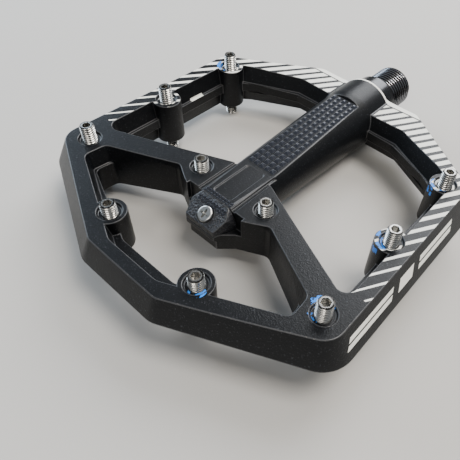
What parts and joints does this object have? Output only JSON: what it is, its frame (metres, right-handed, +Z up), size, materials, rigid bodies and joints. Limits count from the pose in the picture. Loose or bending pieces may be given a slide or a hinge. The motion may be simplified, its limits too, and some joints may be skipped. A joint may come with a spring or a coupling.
{
  "type": "flat bicycle pedal",
  "caption": "Flat bicycle pedal with a concave open frame, threaded traction pins on both faces, a knurled axle housing and a threaded axle.",
  "frame": {"origin": "on the axle's axis, in the plane where the axle's collar seats on the crank arm", "axes": "+Y along the axle towards the crank arm (the platform lies towards -Y); +Z up, square to the tread; +X across the tread, along the direction of travel"},
  "size_m": [0.1036, 0.1232, 0.0232],
  "materials": {
    "frame_black": "black anodised, blasted to a fine satin grain, worn bright on its edges",
    "cap_black": "black anodised, coarse cast texture",
    "pin_steel": "bright zinc-plated steel, semi-gloss",
    "screw_steel": "plated steel, semi-gloss",
    "axle_steel": "dark phosphated steel, satin",
    "bearing_steel": "ground and polished",
    "shield_steel": "pressed sheet, satin",
    "bushing_plastic": "filled bearing plastic, matt",
    "seal_rubber": "matt black rubber",
    "gasket_rubber": "matt black rubber sheet",
    "cage_plastic": "natural nylon, matt"
  },
  "bodies": {
    "platform": {"platform_body": "frame_black", "end_cap": "cap_black", "end_cap_gasket": "gasket_rubber", "end_cap_screw": "screw_steel", "long_pins_top": "pin_steel", "long_pins_bottom": "pin_steel", "short_pins_top": "pin_steel", "short_pins_bottom": "pin_steel", "hub_seal": "seal_rubber", "plain_bushing": "bushing_plastic", "bearing_outer_race": "bearing_steel", "bearing_shield_inboard": "shield_steel", "bearing_shield_outboard": "shield_steel"},
    "spindle": {"spindle": "axle_steel", "spindle_o_ring": "seal_rubber", "axle_washer": "screw_steel", "axle_bolt": "screw_steel", "bearing_inner_race": "bearing_steel"},
    "ball_cage": {"bearing_balls": "bearing_steel", "bearing_cage": "cage_plastic"}
  },
  "joints": [
    {"name": "platform_spin", "type": "hinge", "parent": "spindle", "child": "platform", "pos_m": [0, -0.05, 0], "axis": [0, 1, 0], "continuous": true},
    {"name": "cage_spin", "type": "hinge", "parent": "spindle", "child": "ball_cage", "pos_m": [0, -0.061, 0], "axis": [0, 1, 0], "continuous": true}
  ],
  "couplings": [
    {"joint": "cage_spin", "follows": "platform_spin", "ratio": 0.5688}
  ]
}
